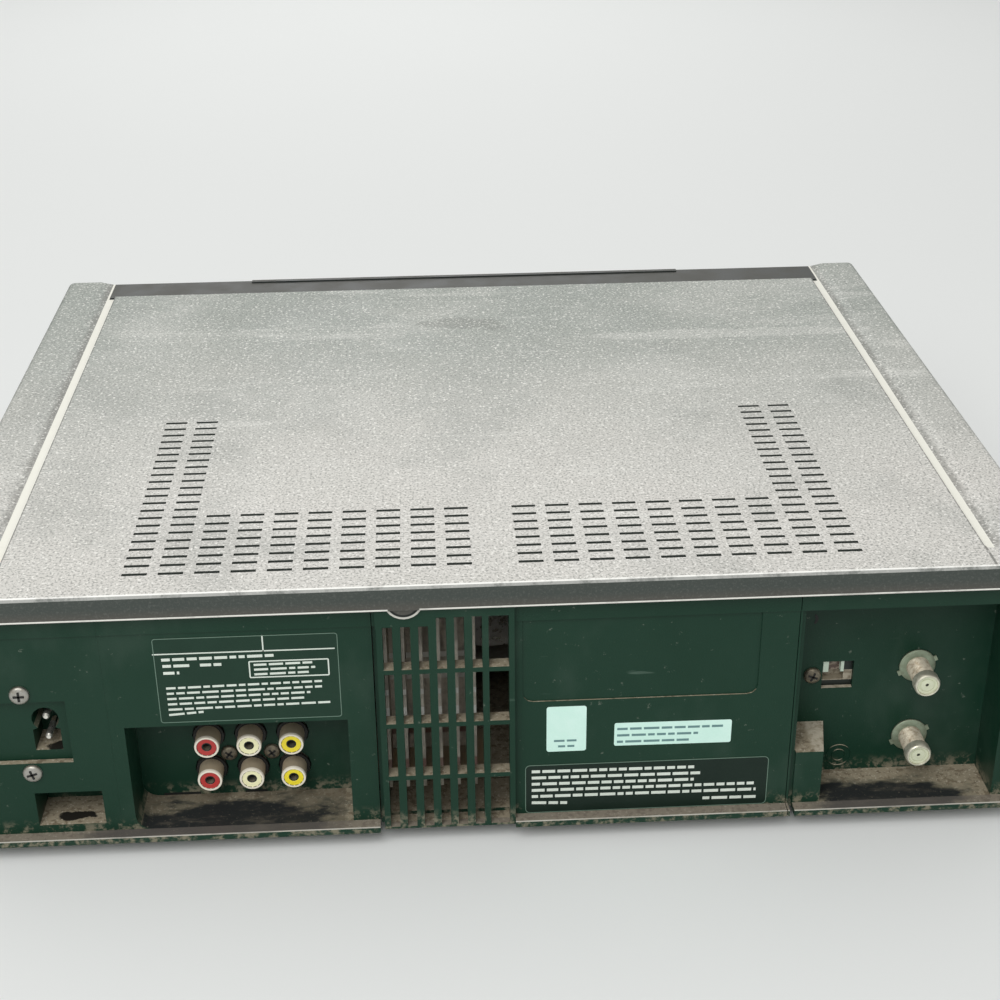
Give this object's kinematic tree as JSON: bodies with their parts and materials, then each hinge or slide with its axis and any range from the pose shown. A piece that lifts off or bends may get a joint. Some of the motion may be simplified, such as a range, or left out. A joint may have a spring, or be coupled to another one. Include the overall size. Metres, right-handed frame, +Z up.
{
  "type": "video cassette recorder",
  "caption": "Flat front-loading video cassette recorder with a vented steel cover, rear socket bays, sprung cassette door, push buttons and a helical-scan tape deck inside.",
  "frame": {"origin": "centre of the body's footprint, on the surface that the feet stand on", "axes": "+Z up, the cassette door faces -Y and the sockets face +Y, +X is the right-hand side seen from the front"},
  "size_m": [0.43, 0.342, 0.12],
  "materials": {
    "cover_paint": "satin",
    "black_plastic": "matt",
    "fascia_plastic": "satin",
    "button_plastic": "satin",
    "white_plastic": "satin",
    "smoked_window": "polished",
    "plated_steel": "plated",
    "polished_metal": "polished",
    "brass": "turned",
    "copper": "enamelled winding",
    "rubber": "matt",
    "circuit_board": "lacquered"
  },
  "bodies": {
    "chassis": {"top_cover": "cover_paint", "bottom_tray": "black_plastic", "rear_panel": "black_plastic", "ac_inlet": "black_plastic", "jack_block": "black_plastic", "rf_can": "plated_steel", "rf_can_lid": "plated_steel", "aerial_socket_upper": "plated_steel", "aerial_socket_lower": "plated_steel", "channel_switch_body": "black_plastic", "jack_recess": "black_plastic", "aerial_recess": "black_plastic", "cord_recess": "black_plastic", "main_board": "circuit_board", "power_board": "circuit_board", "heat_sink": "plated_steel", "transformer_core": "plated_steel", "transformer_winding": "copper", "mech_deck": "plated_steel", "capstan_bearing": "brass", "drum_base": "polished_metal", "drive_belt": "rubber", "erase_head": "polished_metal", "control_head": "polished_metal", "loading_motor": "plated_steel", "left_bracket": "plated_steel", "right_bracket": "plated_steel", "front_panel": "fascia_plastic", "front_jack_block": "black_plastic", "display_window": "smoked_window", "display_tube": "smoked_window", "display_board": "circuit_board", "foot_front_left": "rubber", "foot_front_right": "rubber", "foot_rear_left": "rubber", "foot_rear_right": "rubber"},
    "channel_switch_knob": {"channel_switch_knob": "white_plastic"},
    "drum_rotor": {"drum_rotor": "polished_metal"},
    "worm": {"worm": "brass"},
    "carriage_frame": {"carriage_frame": "polished_metal"},
    "cassette_holder": {"cassette_holder": "plated_steel"},
    "supply_reel": {"supply_reel": "button_plastic"},
    "takeup_reel": {"takeup_reel": "button_plastic"},
    "capstan": {"capstan": "polished_metal"},
    "clutch_pulley": {"clutch_pulley": "button_plastic"},
    "pinch_arm": {"pinch_arm": "plated_steel"},
    "pinch_roller": {"pinch_roller": "rubber"},
    "supply_guide": {"supply_guide": "brass"},
    "takeup_guide": {"takeup_guide": "brass"},
    "cassette_door": {"cassette_door": "fascia_plastic"},
    "front_flap": {"front_flap": "fascia_plastic"},
    "channel_rocker": {"channel_rocker": "button_plastic"},
    "power_button": {"power_button": "button_plastic"},
    "eject_button": {"eject_button": "button_plastic"},
    "rewind_button": {"rewind_button": "button_plastic"},
    "play_button": {"play_button": "button_plastic"},
    "forward_button": {"forward_button": "button_plastic"},
    "record_button": {"record_button": "button_plastic"},
    "stop_button": {"stop_button": "button_plastic"},
    "pause_button": {"pause_button": "button_plastic"}
  },
  "joints": [
    {"name": "door_hinge", "type": "hinge", "parent": "chassis", "child": "cassette_door", "pos_m": [0, -0.16875, 0.10575], "axis": [1, 0, 0], "range_deg": [0, 85], "stiffness_Nm_per_rad": 0.006},
    {"name": "flap_hinge", "type": "hinge", "parent": "chassis", "child": "front_flap", "pos_m": [0, -0.16875, 0.02325], "axis": [1, 0, 0], "range_deg": [0, 90]},
    {"name": "power_push", "type": "slide", "parent": "chassis", "child": "power_button", "axis": [0, 1, 0], "range_m": [0, 0.0012], "stiffness_N_per_m": 600},
    {"name": "eject_push", "type": "slide", "parent": "chassis", "child": "eject_button", "axis": [0, 1, 0], "range_m": [0, 0.0012], "stiffness_N_per_m": 600},
    {"name": "rewind_push", "type": "slide", "parent": "chassis", "child": "rewind_button", "axis": [0, 1, 0], "range_m": [0, 0.0012], "stiffness_N_per_m": 600},
    {"name": "play_push", "type": "slide", "parent": "chassis", "child": "play_button", "axis": [0, 1, 0], "range_m": [0, 0.0012], "stiffness_N_per_m": 600},
    {"name": "forward_push", "type": "slide", "parent": "chassis", "child": "forward_button", "axis": [0, 1, 0], "range_m": [0, 0.0012], "stiffness_N_per_m": 600},
    {"name": "record_push", "type": "slide", "parent": "chassis", "child": "record_button", "axis": [0, 1, 0], "range_m": [0, 0.0012], "stiffness_N_per_m": 600},
    {"name": "stop_push", "type": "slide", "parent": "chassis", "child": "stop_button", "axis": [0, 1, 0], "range_m": [0, 0.0012], "stiffness_N_per_m": 600},
    {"name": "pause_push", "type": "slide", "parent": "chassis", "child": "pause_button", "axis": [0, 1, 0], "range_m": [0, 0.0012], "stiffness_N_per_m": 600},
    {"name": "channel_rock", "type": "hinge", "parent": "chassis", "child": "channel_rocker", "pos_m": [0.152, -0.1668, 0.044], "axis": [0, 0, 1], "range_deg": [-4, 4], "stiffness_Nm_per_rad": 0.2},
    {"name": "channel_select", "type": "slide", "parent": "chassis", "child": "channel_switch_knob", "axis": [0, 0, -1], "range_m": [0, 0.004]},
    {"name": "carriage_travel", "type": "slide", "parent": "chassis", "child": "carriage_frame", "axis": [0, -1, 0], "range_m": [0, 0.065]},
    {"name": "holder_drop", "type": "slide", "parent": "carriage_frame", "child": "cassette_holder", "axis": [0, 0, 1], "range_m": [-0.026, 0]},
    {"name": "supply_spin", "type": "hinge", "parent": "chassis", "child": "supply_reel", "pos_m": [-0.046, -0.026, 0.0415], "axis": [0, 0, 1], "continuous": true},
    {"name": "takeup_spin", "type": "hinge", "parent": "chassis", "child": "takeup_reel", "pos_m": [0.046, -0.026, 0.0415], "axis": [0, 0, 1], "continuous": true},
    {"name": "drum_spin", "type": "hinge", "parent": "chassis", "child": "drum_rotor", "pos_m": [0, 0.064, 0.0485], "axis": [0, 0.1028, 0.9947], "continuous": true},
    {"name": "capstan_spin", "type": "hinge", "parent": "chassis", "child": "capstan", "pos_m": [0.064, 0.038, 0.04], "axis": [0, 0, 1], "continuous": true},
    {"name": "clutch_spin", "type": "hinge", "parent": "chassis", "child": "clutch_pulley", "pos_m": [0.004, -0.006, 0.04], "axis": [0, 0, 1], "continuous": true},
    {"name": "pinch_swing", "type": "hinge", "parent": "chassis", "child": "pinch_arm", "pos_m": [0.098, 0.046, 0.0415], "axis": [0, 0, 1], "range_deg": [0, 28]},
    {"name": "pinch_roll", "type": "hinge", "parent": "pinch_arm", "child": "pinch_roller", "pos_m": [0.07193, 0.05849, 0.052], "axis": [0, 0, 1], "continuous": true},
    {"name": "supply_guide_travel", "type": "slide", "parent": "chassis", "child": "supply_guide", "axis": [0, 1, 0], "range_m": [0, 0.074]},
    {"name": "takeup_guide_travel", "type": "slide", "parent": "chassis", "child": "takeup_guide", "axis": [0, 1, 0], "range_m": [0, 0.074]},
    {"name": "worm_spin", "type": "hinge", "parent": "chassis", "child": "worm", "pos_m": [-0.084, 0.067, 0.0545], "axis": [0, 1, 0], "continuous": true}
  ],
  "couplings": [
    {"joint": "takeup_guide_travel", "follows": "supply_guide_travel", "ratio": 1},
    {"joint": "clutch_spin", "follows": "capstan_spin", "ratio": 0.7143}
  ]
}
